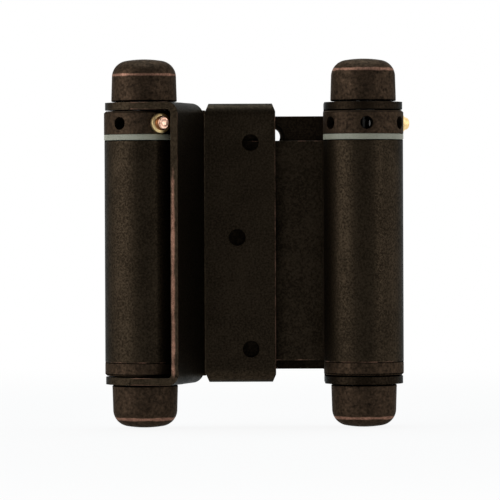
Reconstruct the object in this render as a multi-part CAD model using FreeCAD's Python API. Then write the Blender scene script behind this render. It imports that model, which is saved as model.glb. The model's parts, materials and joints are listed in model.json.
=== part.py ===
import FreeCAD, Part
import math
import os
from FreeCAD import Vector

# Double action spring hinge: two flanges and a web with a rolled barrel at each edge, folded shut.
# Millimetres, +X to the right, +Y away from the viewer, +Z up. The origin lies on the jamb flange's
# mounting face, midway between the two barrels and at mid-height.

# Sheets and barrels
flange_sheet = 2.0
web_sheet = 1.6
barrel_od = 21.6
barrel_spacing = 59.4
flange_gap = 0.4
seam_gap = 0.4

# Flanges
flange_height = 76.2
ear_half_width = 10.6
ear_bend_radius = 1.0
arm_bend_radius = 0.5
fold_clearance = 0.5
plate_right_edge = 5.9
lip_depth = 4.5
lip_bend_radius = 1.5
corner_bevel_run = 0.9
corner_bevel_rise = 2.2
fold_notch_depth = 1.9
door_leaf_reach = 34.0
door_leaf_corner = 1.5

# Screw holes in each flange, the door flange's turned end for end
screw_hole_d = 4.6
countersink_d = 7.4
jamb_screw_x = -0.9
door_screw_reach = 24.8
screw_stagger = 3.7
screw_top_margin = 10.7
screw_bottom_margin = 9.1
screw_middle = 1.5

# Pintles, caps and fits
pintle_d = 6.0
pintle_length = 90.0
pintle_chamfer = 0.6
fixed_fit = 0.02
running_fit = 0.05
ear_gap = 0.3
cap_height = 11.5
cap_base_d = 17.8
cap_shoulder_d = 17.4
cap_shoulder_radius = 4.5
cap_crown_radius = 30.0
cap_bore_floor = 3.0

# Tension collars, washers and pins
collar_od = 21.8
collar_height = 6.3
collar_chamfer = 0.5
washer_thickness = 1.6
spigot_length = 5.0
spigot_gap = 0.3
pin_hole_d = 3.4
pin_hole_count = 6
pin_hole_drop = 3.4
pin_fit = 0.05
pin_inner_reach = 4.5
pin_flange_d = 5.4
pin_flange_thickness = 1.6
pin_stub_d = 3.5
pin_stub_length = 1.9
pin_stub_chamfer = 0.3
pin_rest_gap = 0.3
right_collar_slack = 8.0

# Barrel plugs and springs
plug_rim_height = 3.6
plug_chamfer = 0.5
plug_spigot_length = 7.0
spring_wire = 2.4
spring_mean_d = 13.8
spring_turns = 7
spring_end_gap = 0.3
tang_length = 3.0
tang_fit = 0.1

# Places worked out from the sizes above
barrel_r = barrel_od / 2
tube_bore_r = barrel_r - web_sheet
axis_y = -(barrel_r - web_sheet - flange_gap - flange_sheet)
web_front = flange_sheet + flange_gap
web_back = web_front + web_sheet
half_height = flange_height / 2
ear_inner = half_height - flange_sheet
collar_top = ear_inner - ear_gap
collar_bottom = collar_top - collar_height
web_top = collar_bottom - washer_thickness
collar_r = collar_od / 2
pintle_r = pintle_d / 2
spigot_r = tube_bore_r - spigot_gap
spigot_bottom = collar_bottom - spigot_length
plug_bottom = -ear_inner + ear_gap
web_bottom = plug_bottom + plug_rim_height
plug_spigot_top = web_bottom + plug_spigot_length
flange_reach = barrel_r + flange_gap
arm_outer = flange_reach + flange_sheet
arm_run = ear_half_width + fold_clearance
bend_reach = arm_outer + arm_bend_radius
bend_drop = axis_y + arm_bend_radius
arm_lean = math.asin(bend_drop / math.hypot(bend_reach, arm_run)) + math.atan2(arm_run, bend_reach)
arm_angle = math.degrees(arm_lean)
door_leaf_half = half_height - lip_bend_radius - flange_sheet
screw_high = half_height - screw_top_margin
screw_low = screw_bottom_margin - half_height
left_axis = Vector(-barrel_spacing / 2, axis_y, 0)
right_axis = Vector(barrel_spacing / 2, axis_y, 0)
left_facing = -arm_angle
right_facing = 90.0
up = Vector(0, 0, 1)
origin = Vector(0, 0, 0)


def place(shape, axis, degrees):
    """Turn a piece made about the Z axis and carry it to a barrel axis."""
    moved = shape.copy()
    moved.rotate(origin, up, degrees)
    moved.translate(axis)
    return moved


def polar(radius, degrees, centre=origin):
    angle = math.radians(degrees)
    return centre + Vector(radius * math.cos(angle), radius * math.sin(angle), 0)


def arc(centre, radius, start, end):
    return Part.Arc(
        polar(radius, start, centre), polar(radius, (start + end) / 2, centre), polar(radius, end, centre)
    ).toShape()


def line(start, end):
    return Part.LineSegment(start, end).toShape()


def extrude_between(edges, low, high):
    """A prism along Z on a flat outline drawn at Z = 0."""
    face = Part.Face(Part.Wire(edges))
    face.translate(Vector(0, 0, low))
    return face.extrude(Vector(0, 0, high - low))


def turn(edges):
    """A solid of revolution about Z from an outline drawn in the XZ plane."""
    return Part.Face(Part.Wire(edges)).revolve(origin, up, 360)


def outline(points):
    return [line(a, b) for a, b in zip(points, points[1:] + points[:1])]


def ring_point(radius, z):
    return Vector(radius, 0, z)


def centre_web():
    """One sheet, flat in the middle, with each edge curled forward into a barrel tube."""
    curl_end = math.degrees(math.asin((web_front - axis_y - seam_gap) / barrel_r))
    tangent = 90.0
    around = 360.0 + curl_end
    half = extrude_between(
        [
            arc(left_axis, barrel_r, tangent, around),
            line(polar(barrel_r, around, left_axis), polar(tube_bore_r, around, left_axis)),
            arc(left_axis, tube_bore_r, around, tangent),
            line(Vector(left_axis.x, web_front, 0), Vector(0, web_front, 0)),
            line(Vector(0, web_front, 0), Vector(0, web_back, 0)),
            line(Vector(0, web_back, 0), Vector(left_axis.x, web_back, 0)),
        ],
        web_bottom,
        web_top,
    )
    return half.fuse(half.mirror(origin, Vector(1, 0, 0))).removeSplitter()


def channel(start, end, depth, bend_radius):
    """A flange strip with both ends bent over: its outer face at Y = 0, its bent ends towards +Y."""
    outer_r = bend_radius + flange_sheet
    bend_z = half_height - outer_r
    slant = math.sqrt(0.5)

    def spot(y, z):
        return Vector(start, y, z)

    def bend(radius, sign):
        first = spot(outer_r - radius, sign * bend_z)
        middle = spot(outer_r - radius * slant, sign * (bend_z + radius * slant))
        last = spot(outer_r, sign * (bend_z + radius))
        return Part.Arc(first, middle, last).toShape()

    edges = [
        line(spot(0, -bend_z), spot(0, bend_z)),
        line(spot(flange_sheet, -bend_z), spot(flange_sheet, bend_z)),
    ]
    for sign in (-1, 1):
        edges.append(bend(outer_r, sign))
        edges.append(bend(bend_radius, sign))
        edges.append(line(spot(outer_r, sign * half_height), spot(depth, sign * half_height)))
        edges.append(line(spot(outer_r, sign * ear_inner), spot(depth, sign * ear_inner)))
        edges.append(line(spot(depth, sign * half_height), spot(depth, sign * ear_inner)))
    profile = Part.Face(Part.Wire(Part.__sortEdges__(edges)))
    return profile.extrude(Vector(end - start, 0, 0))


def bevel_wedges(x, run, depth):
    """Two wedges that take the corners off a bent strip's end at x, at its top and its bottom."""
    corners = [
        Vector(x, 0, half_height),
        Vector(x + run, 0, half_height),
        Vector(x, 0, half_height - corner_bevel_rise),
    ]
    upper = Part.Face(Part.Wire(outline(corners))).extrude(Vector(0, depth, 0))
    return [upper, upper.mirror(origin, up)]


def ear_strip():
    """The strip beside a barrel with its two round-ended ears, about the barrel axis, facing +Y."""
    strip = channel(-ear_half_width, ear_half_width, arm_outer, ear_bend_radius)
    strip = strip.cut(bevel_wedges(ear_half_width, -corner_bevel_run, ear_bend_radius + flange_sheet))
    strip.rotate(origin, up, 180)
    strip.translate(Vector(0, arm_outer, 0))
    ends = []
    holes = []
    for bottom in (ear_inner, -half_height):
        ends.append(Part.makeCylinder(ear_half_width, flange_sheet, Vector(0, 0, bottom)))
        holes.append(Part.makeCylinder(pintle_r + fixed_fit, flange_sheet, Vector(0, 0, bottom)))
    return strip.fuse(ends).removeSplitter().cut(holes)


def screw_hole(x, face_y, into, z):
    """A countersunk hole whose wide mouth is on the face at face_y, cut along into."""
    direction = Vector(0, into, 0)
    mouth = Vector(x, face_y, z)
    sink = (countersink_d - screw_hole_d) / 2
    hole = Part.makeCylinder(screw_hole_d / 2, flange_sheet, mouth, direction)
    cone = Part.makeCone(countersink_d / 2, screw_hole_d / 2, sink, mouth, direction)
    return hole.fuse(cone)


def jamb_flange():
    """Ears, an arm beside the left barrel and a screw plate with lips, folded from one sheet."""
    strip = place(ear_strip(), left_axis, left_facing - right_facing)
    fold_half = half_height - fold_notch_depth
    outer_bend_r = arm_bend_radius + flange_sheet
    along = Vector(math.sin(arm_lean), math.cos(arm_lean), 0)
    facing = Vector(math.cos(arm_lean), -math.sin(arm_lean), 0)
    bend_centre = left_axis + facing * bend_reach + along * arm_run
    arm_side = 180.0 - arm_angle
    plate_side = 90.0
    ear_end_inner = left_axis + facing * flange_reach + along * ear_half_width
    ear_end_outer = left_axis + facing * arm_outer + along * ear_half_width
    fold = extrude_between(
        [
            line(ear_end_inner, polar(outer_bend_r, arm_side, bend_centre)),
            arc(bend_centre, outer_bend_r, arm_side, plate_side),
            line(polar(outer_bend_r, plate_side, bend_centre), polar(arm_bend_radius, plate_side, bend_centre)),
            arc(bend_centre, arm_bend_radius, plate_side, arm_side),
            line(polar(arm_bend_radius, arm_side, bend_centre), ear_end_outer),
            line(ear_end_outer, ear_end_inner),
        ],
        -fold_half,
        fold_half,
    )
    plate = channel(bend_centre.x, plate_right_edge, lip_depth, lip_bend_radius)
    wedges = bevel_wedges(bend_centre.x, corner_bevel_run, lip_depth)
    wedges += bevel_wedges(plate_right_edge, -corner_bevel_run, lip_depth)
    holes = [
        screw_hole(jamb_screw_x, flange_sheet, -1, screw_high),
        screw_hole(jamb_screw_x - screw_stagger, flange_sheet, -1, screw_middle),
        screw_hole(jamb_screw_x, flange_sheet, -1, screw_low),
    ]
    return strip.fuse([fold, plate.cut(wedges)]).removeSplitter().cut(holes)


def door_flange():
    """The same blank left flat behind the web, with its ears over the right barrel."""
    strip = place(ear_strip(), right_axis, 0)
    inner_face = axis_y + flange_reach
    leaf_left = right_axis.x - door_leaf_reach
    leaf_right = right_axis.x - ear_half_width
    leaf = Part.makeBox(
        leaf_right - leaf_left,
        flange_sheet,
        2 * door_leaf_half,
        Vector(leaf_left, inner_face, -door_leaf_half),
    )
    corners = [edge for edge in leaf.Edges if edge.CenterOfMass.x < leaf_left + door_leaf_corner
               and abs(edge.CenterOfMass.z) > door_leaf_half - door_leaf_corner]
    leaf = leaf.makeFillet(door_leaf_corner, corners)
    screw_x = right_axis.x - door_screw_reach
    holes = [
        screw_hole(screw_x, inner_face, 1, -screw_high),
        screw_hole(screw_x + screw_stagger, inner_face, 1, -screw_middle),
        screw_hole(screw_x, inner_face, 1, -screw_low),
    ]
    return strip.fuse(leaf).removeSplitter().cut(holes)


def pintle():
    """The rod that the ears hold and the barrel turns on."""
    rod = Part.makeCylinder(pintle_r, pintle_length, Vector(0, 0, -pintle_length / 2))
    ends = [edge for edge in rod.Edges if isinstance(edge.Curve, Part.Circle)]
    return rod.makeChamfer(pintle_chamfer, ends)


def top_cap():
    """A domed cap with a blind bore for the pintle's end."""
    base = half_height + ear_gap
    top = base + cap_height
    shoulder_r = cap_shoulder_d / 2
    inset = shoulder_r - cap_shoulder_radius
    crown_z = top - cap_crown_radius
    reach = cap_crown_radius - cap_shoulder_radius
    shoulder_z = crown_z + math.sqrt(reach ** 2 - inset ** 2)
    lean = math.atan2(shoulder_z - crown_z, inset)
    middle = lean / 2
    bore_r = pintle_r + fixed_fit
    bore_top = top - cap_bore_floor

    def on_shoulder(angle):
        return ring_point(
            inset + cap_shoulder_radius * math.cos(angle), shoulder_z + cap_shoulder_radius * math.sin(angle)
        )

    def on_crown(angle):
        return ring_point(cap_crown_radius * math.cos(angle), crown_z + cap_crown_radius * math.sin(angle))

    apex = ring_point(0, top)
    return turn(
        [
            line(ring_point(bore_r, base), ring_point(cap_base_d / 2, base)),
            line(ring_point(cap_base_d / 2, base), on_shoulder(0)),
            Part.Arc(on_shoulder(0), on_shoulder(middle), on_shoulder(lean)).toShape(),
            Part.Arc(on_shoulder(lean), on_crown((lean + math.pi / 2) / 2), apex).toShape(),
            line(apex, ring_point(0, bore_top)),
            line(ring_point(0, bore_top), ring_point(bore_r, bore_top)),
            line(ring_point(bore_r, bore_top), ring_point(bore_r, base)),
        ]
    )


def bottom_cap():
    return top_cap().mirror(origin, up)


def upright_bar(side, clearance, low, high):
    """A spring's end standing beside the coil's end face, or its slot with a clearance all round."""
    width = spring_wire + 2 * clearance
    middle_y = side * spring_wire / 2
    corner = Vector(spring_mean_d / 2 - width / 2, middle_y - width / 2, low)
    return Part.makeBox(width, width, high - low, corner)


def tension_collar():
    """A turned collar with a spigot in the tube, radial pin holes and a hole for the spring's end."""
    bore_r = pintle_r + running_fit
    body = turn(
        outline(
            [
                ring_point(bore_r, spigot_bottom),
                ring_point(spigot_r, spigot_bottom),
                ring_point(spigot_r, collar_bottom),
                ring_point(collar_r, collar_bottom),
                ring_point(collar_r, collar_top),
                ring_point(bore_r, collar_top),
            ]
        )
    )
    rim = [edge for edge in body.Edges if abs(edge.CenterOfMass.z - collar_top) < running_fit
           and isinstance(edge.Curve, Part.Circle) and edge.Curve.Radius > spigot_r]
    body = body.makeChamfer(collar_chamfer, rim)
    centre = Vector(0, 0, collar_top - pin_hole_drop)
    holes = []
    for step in range(pin_hole_count):
        holes.append(Part.makeCylinder(pin_hole_d / 2, collar_od, centre, polar(1, 360 * step / pin_hole_count)))
    holes.append(upright_bar(-1, tang_fit, spigot_bottom, spigot_bottom + tang_length + tang_fit))
    return body.cut(holes)


def tension_pin():
    """The loose pin in a collar hole, with a flange and a stub to turn it by, pointing along +X."""
    shank_r = pin_hole_d / 2 - pin_fit
    seat = collar_r + fixed_fit
    head = seat + pin_flange_thickness
    tip = head + pin_stub_length
    stub_r = pin_stub_d / 2
    pin = turn(
        outline(
            [
                ring_point(0, pin_inner_reach),
                ring_point(shank_r, pin_inner_reach),
                ring_point(shank_r, seat),
                ring_point(pin_flange_d / 2, seat),
                ring_point(pin_flange_d / 2, head),
                ring_point(stub_r, head),
                ring_point(stub_r, tip - pin_stub_chamfer),
                ring_point(stub_r - pin_stub_chamfer, tip),
                ring_point(0, tip),
            ]
        )
    )
    pin.rotate(origin, Vector(0, 1, 0), 90)
    pin.translate(Vector(0, 0, collar_top - pin_hole_drop))
    return pin


def pin_bearing_angle():
    """How far round from the flange's facing the pin lies when its stub bears on the flange."""
    tip = collar_r + fixed_fit + pin_flange_thickness + pin_stub_length
    stub_r = pin_stub_d / 2
    corner = math.hypot(tip, stub_r)
    return math.degrees(math.acos((flange_reach - pin_rest_gap) / corner) + math.atan2(stub_r, tip))


def nylon_washer():
    """The thrust washer between the tube's top edge and the collar."""
    return turn(
        outline(
            [
                ring_point(tube_bore_r, web_top),
                ring_point(collar_r, web_top),
                ring_point(collar_r, collar_bottom),
                ring_point(tube_bore_r, collar_bottom),
            ]
        )
    )


def barrel_plug():
    """The plug in the tube's lower end, which turns on the pintle and holds the spring's lower end."""
    bore_r = pintle_r + running_fit
    body = turn(
        outline(
            [
                ring_point(bore_r, plug_bottom),
                ring_point(barrel_r, plug_bottom),
                ring_point(barrel_r, web_bottom),
                ring_point(tube_bore_r - fixed_fit, web_bottom),
                ring_point(tube_bore_r - fixed_fit, plug_spigot_top),
                ring_point(bore_r, plug_spigot_top),
            ]
        )
    )
    rim = [edge for edge in body.Edges if abs(edge.CenterOfMass.z - plug_bottom) < running_fit
           and isinstance(edge.Curve, Part.Circle) and edge.Curve.Radius > tube_bore_r]
    body = body.makeChamfer(plug_chamfer, rim)
    return body.cut(upright_bar(1, tang_fit, plug_spigot_top - tang_length - tang_fit, plug_spigot_top))


def torsion_spring():
    """A left-hand coil of square wire from plug to collar, with an upright tang at each end."""
    coil_r = spring_mean_d / 2
    half_wire = spring_wire / 2
    low = plug_spigot_top + spring_end_gap + half_wire
    high = spigot_bottom - spring_end_gap - half_wire
    path = Part.makeHelix((high - low) / spring_turns, high - low, coil_r, 0, True)
    section = Part.makePolygon(
        [
            ring_point(coil_r - half_wire, -half_wire),
            ring_point(coil_r + half_wire, -half_wire),
            ring_point(coil_r + half_wire, half_wire),
            ring_point(coil_r - half_wire, half_wire),
            ring_point(coil_r - half_wire, -half_wire),
        ]
    )
    coil = Part.Wire(path).makePipeShell([section], True, True)
    coil.translate(Vector(0, 0, low))
    lower_tang = upright_bar(1, 0, plug_spigot_top - tang_length, low + half_wire)
    upper_tang = upright_bar(-1, 0, high - half_wire, spigot_bottom + tang_length)
    return coil.fuse([lower_tang, upper_tang]).Solids[0]


def hinge_nodes():
    nodes = {
        "jamb_flange": jamb_flange(),
        "door_flange": door_flange(),
        "centre_web": centre_web(),
    }
    barrel_pieces = {
        "pintle": pintle(),
        "top_cap": top_cap(),
        "bottom_cap": bottom_cap(),
        "tension_collar": tension_collar(),
        "tension_pin": tension_pin(),
        "nylon_washer": nylon_washer(),
        "barrel_plug": barrel_plug(),
        "torsion_spring": torsion_spring(),
    }
    left_turn = left_facing - pin_bearing_angle()
    right_turn = right_facing - pin_bearing_angle() - right_collar_slack
    for side, axis, degrees in (("left", left_axis, left_turn), ("right", right_axis, right_turn)):
        for name, piece in barrel_pieces.items():
            nodes[side + "_" + name] = place(piece, axis, degrees)
    return nodes


os.makedirs("parts", exist_ok=True)
for node, solid in hinge_nodes().items():
    solid.exportStep(os.path.join("parts", node + ".step"))
    print(node, len(solid.Solids), solid.isValid(), round(solid.Volume, 2))
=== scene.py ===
import bpy
import json
import math
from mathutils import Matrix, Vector

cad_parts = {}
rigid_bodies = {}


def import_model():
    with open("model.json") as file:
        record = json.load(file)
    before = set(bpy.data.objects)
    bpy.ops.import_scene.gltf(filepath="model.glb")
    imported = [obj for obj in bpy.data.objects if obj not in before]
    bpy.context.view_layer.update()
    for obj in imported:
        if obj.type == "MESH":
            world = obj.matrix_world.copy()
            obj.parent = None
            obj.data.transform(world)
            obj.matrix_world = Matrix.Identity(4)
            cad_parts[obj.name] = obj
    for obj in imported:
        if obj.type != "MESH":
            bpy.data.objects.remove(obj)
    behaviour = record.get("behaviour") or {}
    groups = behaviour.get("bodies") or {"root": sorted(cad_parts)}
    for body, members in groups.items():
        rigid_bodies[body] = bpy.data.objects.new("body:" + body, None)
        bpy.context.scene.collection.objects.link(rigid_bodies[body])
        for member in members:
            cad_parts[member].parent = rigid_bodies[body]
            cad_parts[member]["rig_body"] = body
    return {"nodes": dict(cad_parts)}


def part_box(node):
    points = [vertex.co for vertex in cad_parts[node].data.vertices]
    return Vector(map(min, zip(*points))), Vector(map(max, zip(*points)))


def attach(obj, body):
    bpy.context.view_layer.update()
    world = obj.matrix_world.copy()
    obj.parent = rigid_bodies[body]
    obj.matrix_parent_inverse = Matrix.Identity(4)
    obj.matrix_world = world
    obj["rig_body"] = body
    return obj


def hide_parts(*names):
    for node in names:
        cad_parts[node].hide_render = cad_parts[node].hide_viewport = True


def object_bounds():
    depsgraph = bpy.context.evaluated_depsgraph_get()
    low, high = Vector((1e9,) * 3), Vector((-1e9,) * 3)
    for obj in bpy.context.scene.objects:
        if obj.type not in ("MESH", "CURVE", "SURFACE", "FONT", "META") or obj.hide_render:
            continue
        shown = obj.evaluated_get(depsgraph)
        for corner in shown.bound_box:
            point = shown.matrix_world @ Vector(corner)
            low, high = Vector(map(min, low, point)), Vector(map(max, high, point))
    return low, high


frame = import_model()
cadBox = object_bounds()
mm = 0.001
sides = ("left", "right")
barrel = {"across": 29.7 * mm, "depth": -6.8 * mm}  # the two axes, from the middle of the hinge


# Small helpers for nodes and meshes

def deselectAll():
    if bpy.context.mode != "OBJECT":
        bpy.ops.object.mode_set(mode="OBJECT")
    bpy.ops.object.select_all(action="DESELECT")


def pickOnly(piece):
    deselectAll()
    piece.select_set(True)
    bpy.context.view_layer.objects.active = piece


def addNode(tree, kind, x, y, **settings):
    node = tree.nodes.new(kind)
    node.location = (x, y)
    for key, value in settings.items():
        setattr(node, key, value)
    return node


def setInputs(node, values):
    for key, value in values.items():
        node.inputs[key].default_value = value


def feed(tree, value, socket):
    # a number is set on the socket, and an output is linked to it
    if isinstance(value, (int, float)):
        socket.default_value = value
    else:
        tree.links.new(value, socket)


def addMath(tree, operation, first, second, x, y):
    node = addNode(tree, "ShaderNodeMath", x, y, operation=operation)
    for socket, value in zip(node.inputs, (first, second)):
        feed(tree, value, socket)
    return node.outputs["Value"]


def addMix(tree, kind, factor, first, second, x, y):
    node = addNode(tree, "ShaderNodeMix", x, y, data_type=kind)
    sockets = {socket.name: socket for socket in node.inputs if socket.enabled}
    for name, value in (("Factor", factor), ("A", first), ("B", second)):
        tree.links.new(value, sockets[name])
    return [socket for socket in node.outputs if socket.enabled][0]


def addFade(tree, value, start, end, x, y, low=0.0, high=1.0):
    # low up to the start value and high from the end value on, smooth between them
    node = addNode(tree, "ShaderNodeMapRange", x, y, interpolation_type="SMOOTHSTEP")
    settings = {"Value": value, "From Min": start, "From Max": end, "To Min": low, "To Max": high}
    for name, setting in settings.items():
        feed(tree, setting, node.inputs[name])
    return node.outputs["Result"]


def addSplit(tree, vector, x, y):
    node = addNode(tree, "ShaderNodeSeparateXYZ", x, y)
    tree.links.new(vector, node.inputs["Vector"])
    return node.outputs


def mixShaders(tree, share, first, second, output):
    mix = addNode(tree, "ShaderNodeMixShader", 300, 0)
    for value, socket in zip((share, first, second), mix.inputs):
        tree.links.new(value, socket)
    tree.links.new(mix.outputs["Shader"], output.inputs["Surface"])


def newMaterial(name):
    material = bpy.data.materials.new(name)
    material.use_nodes = True
    tree = material.node_tree
    tree.nodes.clear()
    output = addNode(tree, "ShaderNodeOutputMaterial", 1200, 0)
    shader = addNode(tree, "ShaderNodeBsdfPrincipled", 900, 0)
    tree.links.new(shader.outputs["BSDF"], output.inputs["Surface"])
    coords = addNode(tree, "ShaderNodeTexCoord", -1200, 0)
    return material, tree, shader, coords.outputs["Object"]


def newGroup(name, inputs, outputs):
    group = bpy.data.node_groups.new(name, "ShaderNodeTree")
    for label, kind in inputs.items():
        group.interface.new_socket(name=label, in_out="INPUT", socket_type="NodeSocket" + kind)
    for label, kind in outputs.items():
        group.interface.new_socket(name=label, in_out="OUTPUT", socket_type="NodeSocket" + kind)
    start = addNode(group, "NodeGroupInput", -900, 0)
    end = addNode(group, "NodeGroupOutput", 900, 0)
    return group, start.outputs, end.inputs


def addGroup(tree, group, x, y):
    node = addNode(tree, "ShaderNodeGroup", x, y)
    node.node_tree = group
    return node


# Shared surface effects

noiseMiddle = 0.5


def makeMottle():
    # cloudy patches with a finer grain over them, as on a finish that was rubbed by hand
    group, given, result = newGroup(
        "mottle",
        {"Vector": "Vector", "Patch Scale": "Float", "Grain Scale": "Float", "Grain Share": "Float",
         "Contrast": "Float", "Dark": "Color", "Light": "Color", "Smooth": "Float", "Rough": "Float"},
        {"Color": "Color", "Roughness": "Float", "Height": "Float"},
    )
    link = group.links.new
    patches = addNode(group, "ShaderNodeTexNoise", -600, 200)
    setInputs(patches, {"Detail": 4.0, "Roughness": 0.6})
    grain = addNode(group, "ShaderNodeTexNoise", -600, -100)
    setInputs(grain, {"Detail": 2.0, "Roughness": 0.6})
    for noise, scale in ((patches, "Patch Scale"), (grain, "Grain Scale")):
        link(given["Vector"], noise.inputs["Vector"])
        link(given[scale], noise.inputs["Scale"])
    both = addMix(group, "FLOAT", given["Grain Share"], patches.outputs["Fac"], grain.outputs["Fac"], -350, 100)
    centred = addMath(group, "SUBTRACT", both, noiseMiddle, -150, 100)
    spread = addMath(group, "MULTIPLY", centred, given["Contrast"], 0, 100)
    level = addNode(group, "ShaderNodeClamp", 300, 100)
    link(addMath(group, "ADD", spread, noiseMiddle, 150, 100), level.inputs["Value"])
    for kind, first, second, end, y in (("RGBA", "Dark", "Light", "Color", 250),
                                        ("FLOAT", "Rough", "Smooth", "Roughness", 0)):
        mixed = addMix(group, kind, level.outputs["Result"], given[first], given[second], 550, y)
        link(mixed, result[end])
    link(grain.outputs["Fac"], result["Height"])
    return group


def makePatchy():
    # breaks an even amount up into patches, so that worn lines, painted highlights and painted shade come and
    # go
    group, given, result = newGroup(
        "patchy",
        {"Vector": "Vector", "Scale": "Float", "Amount": "Float", "Softness": "Float"},
        {"Mask": "Float"},
    )
    noise = addNode(group, "ShaderNodeTexNoise", -600, 0)
    setInputs(noise, {"Detail": 4.0, "Roughness": 0.65})
    group.links.new(given["Vector"], noise.inputs["Vector"])
    group.links.new(given["Scale"], noise.inputs["Scale"])
    low, high = [addMath(group, operation, noise.outputs["Fac"], given["Softness"], -200, y)
                 for operation, y in (("SUBTRACT", 100), ("ADD", -100))]
    group.links.new(addFade(group, given["Amount"], low, high, 200, 0), result["Mask"])
    return group


mottle = makeMottle()
patchy = makePatchy()


def addMottle(tree, vector, finish, x, y):
    node = addGroup(tree, mottle, x, y)
    setInputs(node, {
        "Patch Scale": finish["patchScale"], "Grain Scale": finish["grainScale"],
        "Grain Share": finish["grainShare"], "Contrast": finish["contrast"],
        "Dark": (*finish["dark"], 1), "Light": (*finish["light"], 1),
        "Smooth": finish["smooth"], "Rough": finish["rough"],
    })
    tree.links.new(vector, node.inputs["Vector"])
    return node.outputs


def addPatchy(tree, vector, amount, scale, softness, x, y):
    node = addGroup(tree, patchy, x, y)
    setInputs(node, {"Scale": scale, "Softness": softness})
    tree.links.new(vector, node.inputs["Vector"])
    feed(tree, amount, node.inputs["Amount"])
    return node.outputs["Mask"]


def addBump(tree, height, shader, depth):
    bump = addNode(tree, "ShaderNodeBump", 600, -300)
    setInputs(bump, {"Strength": 1.0, "Distance": depth})
    tree.links.new(height, bump.inputs["Height"])
    tree.links.new(bump.outputs["Normal"], shader.inputs["Normal"])


def band(tree, value, middle, half, x, y):
    # 1 on the middle value, falling to 0 at half a width from it
    away = addMath(tree, "ABSOLUTE", addMath(tree, "SUBTRACT", value, middle, x, y), 0, x + 150, y)
    return addFade(tree, away, 0.0, half, x + 300, y, low=1.0, high=0.0)


# Finishes

sheetBronze = {
    "patchScale": 110.0, "grainScale": 1900.0, "grainShare": 0.72, "contrast": 5.0,
    "dark": (0.0180, 0.0128, 0.0079), "light": (0.0405, 0.0288, 0.0180),
    "smooth": 0.40, "rough": 0.53, "bump": 0.00003, "rim": (0.53, 0.56, 0.575),
}
# a much darker copy of the sheet finish: painted shade for the web behind the plate and the foot of the leaf
plateShadeBronze = {**sheetBronze, "dark": (0.0050, 0.0035, 0.0022), "light": (0.0125, 0.0088, 0.0055)}
# a darker copy of the sheet finish for the door leaf: painted shade, as the leaf stands back behind the plate
# and web
shadedLeafBronze = {**sheetBronze, "dark": (0.0105, 0.0072, 0.0045), "light": (0.0230, 0.0158, 0.0100)}
turnedBronze = {
    "patchScale": 620.0, "grainScale": 1400.0, "grainShare": 0.60, "contrast": 2.5,
    "dark": (0.0118, 0.0086, 0.0059), "light": (0.0730, 0.0466, 0.0294),
    "smooth": 0.48, "rough": 0.66, "bump": 0.00006, "rim": (0.56, 0.56, 0.55),
}
jointShade = {  # painted shade for the gaps between the turned pieces, put on their rounded edges
    "patchScale": 420.0, "grainScale": 1500.0, "grainShare": 0.5, "contrast": 2.0,
    "dark": (0.0015, 0.0011, 0.0008), "light": (0.0060, 0.0042, 0.0028),
    "smooth": 0.70, "rough": 0.85, "bump": 0.00006, "rim": (0.08, 0.07, 0.06),
}
holeShade = {**jointShade, "light": (0.0045, 0.0032, 0.0021), "rim": (0.03, 0.03, 0.03)}
# copper under the finish: real wear on folded edges, and on the cap lines and the arm's cut edge also a painted
# highlight
copperWearAndSheen = {
    "patchScale": 500.0, "grainScale": 2600.0, "grainShare": 0.5, "contrast": 2.6,
    "dark": (0.090, 0.045, 0.030), "light": (0.450, 0.246, 0.172), "smooth": 0.46, "rough": 0.60,
}
capRing = {  # height and strength of the copper line on each cap, partly rubbed wear and partly a painted highlight
    "left_top": (45.60 * mm, 0.74), "right_top": (46.95 * mm, 0.74),
    "left_bottom": (47.45 * mm, 0.90), "right_bottom": (47.30 * mm, 0.86),
    "halfWidth": 0.82 * mm, "scale": 230.0, "softness": 0.26,
}
cutEdge = {  # the arm's cut edge, copper wear with a painted highlight: its run from the barrel axis, its place across the sheet and where it fades
    "axis": (-barrel["across"], barrel["depth"]), "along": (0.3104, 0.9506),
    "reach": -10.6 * mm, "halfWidth": 0.9 * mm, "middle": 11.8 * mm, "spread": 1.3 * mm,
    "fadeFrom": 27.0 * mm, "fadeTo": 15.0 * mm, "lowFrom": -38.0 * mm, "lowTo": -34.0 * mm,
    "scale": 200.0, "softness": 0.24, "strength": 0.65,
}
foldedEdge = {"amount": 0.40, "scale": 300.0, "softness": 0.14}
# where painted shade darkens the web behind the plate and the foot of the leaf, in patches
shadeBehindPlate = {"bands": {"X": (-2.0 * mm, 17.0 * mm)}, "scale": 90.0, "softness": 0.30}
leafFootShade = {**shadeBehindPlate, "bands": {"X": (9.0 * mm, 14.0 * mm), "Z": (-35.0 * mm, 8.0 * mm)}}


def makeBronze(name, finish, wearAndPaintedLightAmount=None, wearAndPaintedLightSettings=None, under=copperWearAndSheen):
    material, tree, shader, vector = newMaterial(name)
    skin = addMottle(tree, vector, finish, -600, 200)
    color, roughness = skin["Color"], skin["Roughness"]
    if wearAndPaintedLightAmount is not None:
        amount = wearAndPaintedLightAmount if isinstance(wearAndPaintedLightAmount, float) else wearAndPaintedLightAmount(tree, vector)
        mask = addPatchy(tree, vector, amount, wearAndPaintedLightSettings["scale"], wearAndPaintedLightSettings["softness"], 0, -200)
        lower = addMottle(tree, vector, under, -600, -200)
        color = addMix(tree, "RGBA", mask, color, lower["Color"], 300, 200)
        roughness = addMix(tree, "FLOAT", mask, roughness, lower["Roughness"], 300, -100)
    tree.links.new(color, shader.inputs["Base Color"])
    tree.links.new(roughness, shader.inputs["Roughness"])
    setInputs(shader, {"Metallic": 1.0, "Specular Tint": (*finish["rim"], 1)})
    addBump(tree, skin["Height"], shader, finish["bump"])
    return material


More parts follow.
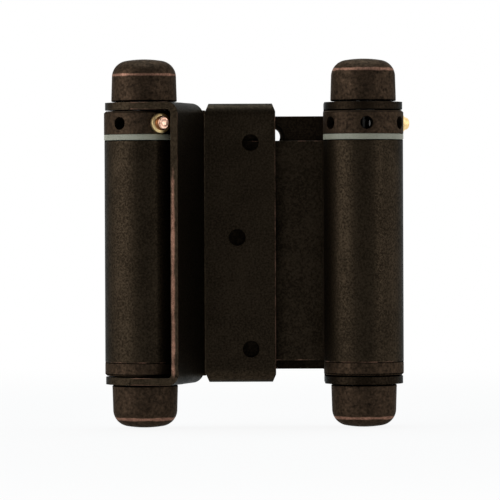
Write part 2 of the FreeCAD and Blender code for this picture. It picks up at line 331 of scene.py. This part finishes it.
def capWearAndSheen(cap):
    # a copper ring on the cap's shoulder: partly rubbed wear, partly a painted highlight
    height, strength = capRing[cap]

    def amount(tree, vector):
        level = addMath(tree, "ABSOLUTE", addSplit(tree, vector, -1000, -400)["Z"], 0, -850, -400)
        ring = band(tree, level, height, capRing["halfWidth"], -700, -400)
        return addMath(tree, "MULTIPLY", ring, strength, -200, -400)

    return amount


def cutEdgeWearAndSheen(tree, vector):
    # copper wear and a painted highlight along the cut edge of the arm, away from its upper and lower ends
    split = addSplit(tree, vector, -1400, -400)
    alongX, alongY = cutEdge["along"]
    masks = []
    for shares, middle, half, y in (((alongX, alongY), cutEdge["reach"], cutEdge["halfWidth"], -400),
                                    ((alongY, -alongX), cutEdge["middle"], cutEdge["spread"], -700)):
        first, second = [addMath(tree, "MULTIPLY", split[name], share, -1200, y)
                         for name, share in zip("XY", shares)]
        start = sum(place * share for place, share in zip(cutEdge["axis"], shares))
        reached = addMath(tree, "ADD", first, second, -1000, y)
        masks.append(band(tree, reached, start + middle, half, -800, y))
    for start, end, y in ((cutEdge["fadeFrom"], cutEdge["fadeTo"], -1000),
                          (cutEdge["lowFrom"], cutEdge["lowTo"], -1200)):
        masks.append(addFade(tree, split["Z"], start, end, -500, y))
    whole = cutEdge["strength"]
    for mask in masks:
        whole = addMath(tree, "MULTIPLY", mask, whole, -300, -600)
    return whole


def paintedShadeZone(place):
    # painted shade on the web behind the front plate and on the foot of the leaf, where the plate and barrels
    # keep the light off
    def amount(tree, vector):
        split = addSplit(tree, vector, -1000, -400)
        whole = 1.0
        for axis, (middle, reach) in place["bands"].items():
            strip = band(tree, split[axis], middle, reach, -700, -400)
            whole = addMath(tree, "MULTIPLY", strip, whole, -200, -400)
        return whole

    return amount


def jambFoldWearAndSheen(tree, vector):
    return addMath(tree, "MAXIMUM", cutEdgeWearAndSheen(tree, vector), foldedEdge["amount"], -50, -600)


def makePlain(name, finish, metallic):
    material, tree, shader, vector = newMaterial(name)
    skin = addMottle(tree, vector, finish, -400, 0)
    tree.links.new(skin["Color"], shader.inputs["Base Color"])
    tree.links.new(skin["Roughness"], shader.inputs["Roughness"])
    shader.inputs["Metallic"].default_value = metallic
    addBump(tree, skin["Height"], shader, finish["bump"])
    return material


# painted shade: the washers get a grey far darker than white nylon, as they sit in the dark gaps
nylon = {"patchScale": 300.0, "grainScale": 1800.0, "grainShare": 0.4, "contrast": 1.8,
         "dark": (0.190, 0.196, 0.146), "light": (0.320, 0.320, 0.254), "smooth": 0.45, "rough": 0.60,
         "bump": 0.00001}
brass = {"patchScale": 600.0, "grainScale": 3000.0, "grainShare": 0.4, "contrast": 1.6,
         "dark": (0.94, 0.63, 0.26), "light": (1.00, 0.78, 0.42), "smooth": 0.26, "rough": 0.40,
         "bump": 0.000002}
pinkBrass = {"patchScale": 900.0, "grainScale": 3000.0, "grainShare": 0.4, "contrast": 1.8,
             "dark": (0.70, 0.36, 0.24), "light": (0.93, 0.62, 0.48), "smooth": 0.24, "rough": 0.38,
             "bump": 0.000003}
# painted shade: a dark brass for the side and neck of the left pin's stub
shadedBrass = {"patchScale": 700.0, "grainScale": 3000.0, "grainShare": 0.4, "contrast": 2.0,
             "dark": (0.16, 0.055, 0.020), "light": (0.40, 0.170, 0.070), "smooth": 0.26, "rough": 0.42,
             "bump": 0.000003}
steel = {"patchScale": 300.0, "grainScale": 2500.0, "grainShare": 0.5, "contrast": 1.6,
         "dark": (0.055, 0.053, 0.051), "light": (0.120, 0.117, 0.113), "smooth": 0.14, "rough": 0.26,
         "bump": 0.000004}

finishes = {
    "web": makeBronze("webBronze", sheetBronze, paintedShadeZone(shadeBehindPlate), shadeBehindPlate, plateShadeBronze),
    "jambSheet": makeBronze("jambBronze", sheetBronze, cutEdgeWearAndSheen, cutEdge),
    "jambFold": makeBronze("jambFold", sheetBronze, jambFoldWearAndSheen, cutEdge),
    "leaf": makeBronze("shadedLeafBronze", shadedLeafBronze, paintedShadeZone(leafFootShade), leafFootShade, plateShadeBronze),
    "leafFold": makeBronze("leafFold", shadedLeafBronze, foldedEdge["amount"], foldedEdge),
    "fold": makeBronze("foldedEdge", sheetBronze, foldedEdge["amount"], foldedEdge),
    "turned": makeBronze("turnedBronze", turnedBronze),
    "joint": makeBronze("jointShade", jointShade),
    "hole": makeBronze("holeShade", holeShade),
    "left_top_cap": makeBronze("leftTopCap", turnedBronze, capWearAndSheen("left_top"), capRing),
    "left_bottom_cap": makeBronze("leftBottomCap", turnedBronze, capWearAndSheen("left_bottom"), capRing),
    "right_top_cap": makeBronze("rightTopCap", turnedBronze, capWearAndSheen("right_top"), capRing),
    "right_bottom_cap": makeBronze("rightBottomCap", turnedBronze, capWearAndSheen("right_bottom"), capRing),
    "nylon": makePlain("nylon", nylon, 0.0),
    "brass": makePlain("brass", brass, 1.0),
    "pinkBrass": makePlain("pinkBrass", pinkBrass, 1.0),
    "shadedBrass": makePlain("shadedBrass", shadedBrass, 1.0),
    "steel": makePlain("drawnSteel", steel, 1.0),
}
print("finishes made:", len(finishes))


# Pieces made from copies of the CAD nodes, with the small rounding that pressed and turned metal has

copying = {"weld": 0.002 * mm, "samePlace": 0.001 * mm, "flatWithin": 0.05, "smoothBelow": 30, "faceOn": 0.98}


def smooth(piece, degrees=copying["smoothBelow"]):
    pickOnly(piece)
    bpy.ops.object.shade_smooth_by_angle(angle=math.radians(degrees))


def openCopy(source, name, finishNames):
    # a welded copy of a node, left open for editing with all of it selected
    piece = bpy.data.objects.new(name, source.data.copy())
    bpy.context.scene.collection.objects.link(piece)
    piece.data.materials.clear()
    for finish in finishNames:
        piece.data.materials.append(finishes[finish])
    pickOnly(piece)
    bpy.ops.object.mode_set(mode="EDIT")
    bpy.ops.mesh.select_all(action="SELECT")
    bpy.ops.mesh.remove_doubles(threshold=copying["weld"])
    return piece


def markLongEdges(piece, shape):
    # weight 1 on the sharp edges that are long enough to be rounded without running into a bend
    bpy.ops.object.mode_set(mode="EDIT")
    bpy.ops.mesh.select_mode(type="EDGE")
    bpy.ops.mesh.select_all(action="DESELECT")
    bpy.ops.mesh.edges_select_sharp(sharpness=math.radians(shape["sharpFrom"]))
    bpy.ops.object.mode_set(mode="OBJECT")
    weights = piece.data.attributes.new("bevel_weight_edge", "FLOAT", "EDGE")
    points = piece.data.vertices
    for edge in piece.data.edges:
        first, second = [points[index].co for index in edge.vertices]
        isLong = (first - second).length > shape["roundFrom"]
        weights.data[edge.index].value = float(edge.select and isLong)


def roundEdges(piece, shape):
    bevel = piece.modifiers.new("rounding", "BEVEL")
    bevel.width = shape["rounding"]
    bevel.segments = shape["segments"]
    bevel.limit_method = "ANGLE"
    bevel.angle_limit = math.radians(shape["sharpFrom"])
    if shape["roundFrom"]:
        markLongEdges(piece, shape)
        bevel.limit_method = "WEIGHT"
    bevel.use_clamp_overlap = not shape["roundFrom"]
    bevel.material = len(shape["finishes"]) - 1
    bpy.ops.object.modifier_apply(modifier=bevel.name)


def dropTwins(piece):
    # where the rounding ends at a bend it leaves slivers lying back to back, which are taken out in pairs
    bpy.ops.object.mode_set(mode="EDIT")
    bpy.ops.mesh.select_mode(type="FACE")
    bpy.ops.mesh.select_all(action="SELECT")
    bpy.ops.mesh.quads_convert_to_tris()
    bpy.ops.mesh.select_all(action="DESELECT")
    bpy.ops.object.mode_set(mode="OBJECT")
    places = [tuple(round(c / copying["samePlace"]) for c in vertex.co) for vertex in piece.data.vertices]
    twins = {}
    for face in piece.data.polygons:
        twins.setdefault(frozenset(places[index] for index in face.vertices), []).append(face)
    for faces in twins.values():
        for face in faces:
            face.select = len(faces) > 1
    bpy.ops.object.mode_set(mode="EDIT")
    bpy.ops.mesh.delete(type="ONLY_FACE")
    bpy.ops.mesh.select_all(action="SELECT")
    bpy.ops.mesh.delete_loose()
    bpy.ops.mesh.select_all(action="SELECT")
    bpy.ops.mesh.remove_doubles(threshold=copying["samePlace"])
    bpy.ops.object.mode_set(mode="OBJECT")


def paintShadeInHollows(piece, shape):
    # painted shade inside the screw holes and at the upper ends of the barrels, under the washers
    for face in piece.data.polygons:
        across, height = face.center.x / mm, face.center.z / mm
        nearHole = any(math.hypot(across - x, height - z) < shape["holeReach"] for x, z in shape["holes"])
        inHole = nearHole and abs(face.normal.y) < copying["faceOn"]
        atEnd = height > shape["darkAbove"] and abs(across) > shape["darkBeyond"]
        if atEnd or inHole:
            face.material_index = 1


def softCopy(nodeName, shape):
    source = frame["nodes"][nodeName]
    piece = openCopy(source, nodeName + "_soft", shape["finishes"])
    bpy.ops.mesh.dissolve_limited(angle_limit=math.radians(copying["flatWithin"]))
    bpy.ops.mesh.normals_make_consistent(inside=False)
    bpy.ops.object.mode_set(mode="OBJECT")
    roundEdges(piece, shape)
    dropTwins(piece)
    paintShadeInHollows(piece, shape)
    smooth(piece)
    flat = piece.modifiers.new("flatFaces", "WEIGHTED_NORMAL")
    flat.keep_sharp = True
    bpy.ops.object.modifier_apply(modifier=flat.name)
    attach(piece, source["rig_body"])
    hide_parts(nodeName)


# finishes: all over, painted shade in holes and at dark ends, on rounded edges; holes and dark ends in mm
sheetShape = {"finishes": ["web", "joint", "fold"], "slot": "bronze",
              "rounding": 0.25 * mm, "segments": 3, "sharpFrom": 35, "roundFrom": 0,
              "holes": [], "holeReach": 4.1, "darkAbove": 99.0, "darkBeyond": 18.6}
jambShape = {**sheetShape, "finishes": ["jambSheet", "hole", "jambFold"], "roundFrom": 4.0 * mm,
             "holes": [(-0.9, 27.4), (-4.6, 1.5), (-0.9, -29.0)]}
leafShape = {**sheetShape, "finishes": ["leaf", "hole", "leafFold"], "roundFrom": 4.0 * mm}
webShape = {**sheetShape, "darkAbove": 27.5}
# turned pieces take the joint finish on their rounded edges: painted shade for the gaps between them
turnedShape = {**sheetShape, "finishes": ["turned", "joint"], "rounding": 0.28 * mm, "sharpFrom": 30}
washerShape = {**sheetShape, "finishes": ["nylon"], "sharpFrom": 30, "slot": "nylon"}

softCopy("jamb_flange", jambShape)
softCopy("door_flange", leafShape)
softCopy("centre_web", webShape)
for side in sides:
    for cap in (side + "_top_cap", side + "_bottom_cap"):
        softCopy(cap, {**turnedShape, "finishes": [cap, "joint"], "rounding": 0.3 * mm})
    softCopy(side + "_tension_collar", turnedShape)
    softCopy(side + "_barrel_plug", {**turnedShape, "rounding": 0.14 * mm})
    softCopy(side + "_nylon_washer", washerShape)
print("sheet and turned pieces rounded")


# The two brass pins, turned ring by ring: radius and distance from the barrel axis, in mm

pin = {
    "steps": 64, "height": 32.4 * mm,
    "rings": [(1.35, 4.5), (1.65, 4.8), (1.65, 10.92), (2.45, 10.92), (2.64, 10.98), (2.70, 11.14),
              (2.70, 12.26), (2.64, 12.42), (2.46, 12.52), (1.98, 12.52), (1.80, 12.56), (1.72, 12.66),
              (1.72, 14.02), (1.66, 14.26), (1.50, 14.40), (1.30, 14.42), (0.92, 14.42), (0.84, 14.38),
              (0.40, 14.38)],
    "faceFrom": 14.2, "faceRadius": 1.75, "neckFrom": 12.5, "neckRadius": 2.0, "smoothBelow": 40,
    "across": {"left": -barrel["across"], "right": barrel["across"]},
    "turn": {"left": -66.38, "right": 33.71},
    "finishes": {"left": ("brass", "pinkBrass", "shadedBrass"), "right": ("brass", "brass", "brass")},
}


def turnedRings(name, rings, steps):
    deselectAll()
    radius, reach = rings[0]
    bpy.ops.mesh.primitive_circle_add(vertices=steps, radius=radius * mm, location=(0, 0, reach * mm),
                                      fill_type="NGON")
    piece = bpy.context.object
    piece.name = name
    bpy.ops.object.transform_apply(location=True, rotation=True, scale=True)
    bpy.ops.object.mode_set(mode="EDIT")
    bpy.ops.mesh.select_all(action="SELECT")
    for (lastRadius, lastReach), (nextRadius, nextReach) in zip(rings, rings[1:]):
        bpy.ops.mesh.extrude_region_move(
            TRANSFORM_OT_translate={"value": (0, 0, (nextReach - lastReach) * mm)})
        grow = nextRadius / lastRadius
        bpy.ops.transform.resize(value=(grow, grow, 1), center_override=(0, 0, nextReach * mm))
    bpy.ops.mesh.select_all(action="SELECT")
    bpy.ops.mesh.normals_make_consistent(inside=False)
    bpy.ops.object.mode_set(mode="OBJECT")
    return piece


def makePin(side):
    piece = turnedRings(side + "_pin_turned", pin["rings"], pin["steps"])
    for finish in pin["finishes"][side]:
        piece.data.materials.append(finishes[finish])
    for face in piece.data.polygons:
        radius, reach = math.hypot(face.center.x, face.center.y) / mm, face.center.z / mm
        if reach > pin["faceFrom"] and radius < pin["faceRadius"]:
            face.material_index = 1
        # the neck and the stub's side take the third finish, painted shade on the left pin
        elif reach > pin["neckFrom"] and radius < pin["neckRadius"]:
            face.material_index = 2
    piece.rotation_euler = (0, math.pi / 2, math.radians(pin["turn"][side]))
    piece.location = (pin["across"][side], barrel["depth"], pin["height"])
    pickOnly(piece)
    bpy.ops.object.transform_apply(location=True, rotation=True, scale=True)
    smooth(piece, pin["smoothBelow"])
    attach(piece, side + "_collar")
    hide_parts(side + "_tension_pin")


for side in sides:
    makePin(side)
print("pins turned")


# The steel inside: pintles seen in the gaps and through the pin holes, and springs that stay hidden

for side in sides:
    pintle = frame["nodes"][side + "_pintle"]
    pintle.data.materials.clear()
    pintle.data.materials.append(finishes["steel"])
    smooth(pintle)

# cut under its collar, so that the upper end of a spring turns with the collar that winds it
spring = {"endFrom": 0.10 * mm, "coilTo": 0.20 * mm}


def springPart(side, upper):
    source = frame["nodes"][side + "_torsion_spring"]
    piece = openCopy(source, side + ("_spring_end" if upper else "_spring_coil"), ["steel"])
    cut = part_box(side + "_tension_collar")[0][2] - (spring["endFrom"] if upper else spring["coilTo"])
    bpy.ops.mesh.bisect(plane_co=(0, 0, cut), plane_no=(0, 0, 1), use_fill=True,
                        clear_inner=upper, clear_outer=not upper)
    bpy.ops.object.mode_set(mode="OBJECT")
    smooth(piece)
    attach(piece, side + "_collar" if upper else "web")
    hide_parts(side + "_torsion_spring")


for side in sides:
    springPart(side, upper=True)
    springPart(side, upper=False)
print("springs cut below the collars")


# Stage, light and camera

stage = {
    "floorSize": 6.0, "floorGap": 0.0002, "floorColor": (0.72, 0.72, 0.71, 1), "whiteShare": 0.90,
    "fadeFrom": 0.12, "fadeTo": 0.45, "mirrorFrom": -0.10, "mirrorTo": 0.06,
}


def addShownRays(tree, mirrored, x, y):
    # 1 for the rays that the camera sends, straight or through something clear, mirrored for reflected ones
    rays = addNode(tree, "ShaderNodeLightPath", x, y).outputs
    seen = addMath(tree, "MAXIMUM", rays["Is Camera Ray"], rays["Is Transmission Ray"], x + 200, y)
    reflected = addMath(tree, "MULTIPLY", rays["Is Glossy Ray"], mirrored, x + 200, y - 150)
    return addMath(tree, "MAXIMUM", seen, reflected, x + 400, y)


def makeFloor():
    # takes the shadow, and fades into the white around it
    deselectAll()
    floorHeight = cadBox[0][2] - stage["floorGap"]
    bpy.ops.mesh.primitive_plane_add(size=stage["floorSize"], location=(0, 0, floorHeight))
    floor = bpy.context.object
    floor.name = "floor"
    material = bpy.data.materials.new("paleFloor")
    material.use_nodes = True
    tree = material.node_tree
    tree.nodes.clear()
    output = addNode(tree, "ShaderNodeOutputMaterial", 600, 0)
    matte = addNode(tree, "ShaderNodeBsdfDiffuse", 0, 100)
    matte.inputs["Color"].default_value = stage["floorColor"]
    glow = addNode(tree, "ShaderNodeEmission", 0, -100)
    glow.inputs["Strength"].default_value = 1.0
    place = addNode(tree, "ShaderNodeTexCoord", -1200, 0).outputs["Object"]
    away = addNode(tree, "ShaderNodeVectorMath", -800, -200, operation="LENGTH")
    tree.links.new(place, away.inputs[0])
    fade = addFade(tree, away.outputs["Value"], stage["fadeFrom"], stage["fadeTo"], -600, -200,
                   low=stage["whiteShare"])
    behind = addFade(tree, addSplit(tree, place, -1000, 200)["Y"], stage["mirrorFrom"], stage["mirrorTo"],
                     -850, 200)
    share = addMath(tree, "MULTIPLY", addShownRays(tree, behind, -700, 0), fade, -100, 0)
    mixShaders(tree, share, matte.outputs["BSDF"], glow.outputs["Emission"], output)
    floor.data.materials.append(material)


makeFloor()

studio = {"front": 0.13, "back": 0.55, "frontEdge": -0.3, "backEdge": 0.6}


def makeWorld():
    # the camera sees white, and the metal sees that white behind the object and a dim room before it
    world = bpy.data.worlds.new("studio")
    bpy.context.scene.world = world
    world.use_nodes = True
    tree = world.node_tree
    tree.nodes.clear()
    output = addNode(tree, "ShaderNodeOutputWorld", 600, 0)
    room = addNode(tree, "ShaderNodeBackground", 0, 100)
    white = addNode(tree, "ShaderNodeBackground", 0, -100)
    room.inputs["Color"].default_value = white.inputs["Color"].default_value = (1, 1, 1, 1)
    direction = addNode(tree, "ShaderNodeTexCoord", -900, 100).outputs["Generated"]
    behind = addFade(tree, addSplit(tree, direction, -700, 100)["Y"], studio["frontEdge"], studio["backEdge"],
                     -500, 100)
    rise = addMath(tree, "MULTIPLY", behind, studio["back"] - studio["front"], -300, 100)
    tree.links.new(addMath(tree, "ADD", rise, studio["front"], -150, 100), room.inputs["Strength"])
    share = addShownRays(tree, behind, -500, -200)
    mixShaders(tree, share, room.outputs["Background"], white.outputs["Background"], output)


makeWorld()

lamps = {
    "leftSoftbox": {"place": (-0.91, -0.43, 0.12), "size": (1.0, 1.6), "power": 12.0, "color": (1, 1, 1)},
    "rightSoftbox": {"place": (0.95, -0.10, 0.20), "size": (0.6, 1.1), "power": 2.3, "color": (1, 1, 1)},
    "fillSoftbox": {"place": (0.72, -0.66, 0.12), "size": (0.13, 0.32), "power": 0.85, "color": (1, 1, 1)},
    "topSoftbox": {"place": (0.0, 0.20, 0.95), "size": (0.9, 0.7), "power": 6.0, "color": (0.76, 0.91, 1)},
}


def makeLamps():
    for name, lamp in lamps.items():
        light = bpy.data.lights.new(name, "AREA")
        light.shape = "RECTANGLE"
        light.size, light.size_y = lamp["size"]
        light.energy = lamp["power"]
        light.color = lamp["color"]
        holder = bpy.data.objects.new(name, light)
        bpy.context.scene.collection.objects.link(holder)
        holder.location = lamp["place"]
        holder.rotation_euler = (-Vector(lamp["place"])).to_track_quat("-Z", "Y").to_euler()


makeLamps()

view = {
    "imageWidth": 500, "focalPixels": 4000.0, "pixel": 0.2713 * mm, "sensorWidth": 36.0, "clipStart": 0.01,
    "roll": 0.22, "eyeHeight": 0.0090, "eyeAcross": -0.00108, "lookHeight": -0.00188,
}


def makeCamera():
    data = bpy.data.cameras.new("camera")
    data.sensor_width = view["sensorWidth"]
    data.lens = view["focalPixels"] * view["sensorWidth"] / view["imageWidth"]
    data.clip_start = view["clipStart"]
    camera = bpy.data.objects.new("camera", data)
    bpy.context.scene.collection.objects.link(camera)
    distance = view["focalPixels"] * view["pixel"]
    down = math.atan2(view["eyeHeight"] - view["lookHeight"], distance)
    camera.location = (view["eyeAcross"], barrel["depth"] - distance, view["eyeHeight"])
    camera.rotation_euler = (math.pi / 2 - down, math.radians(view["roll"]), 0)
    bpy.context.scene.camera = camera


makeCamera()
bpy.context.scene.view_settings.view_transform = "Standard"
print("stage, lamps and camera set")
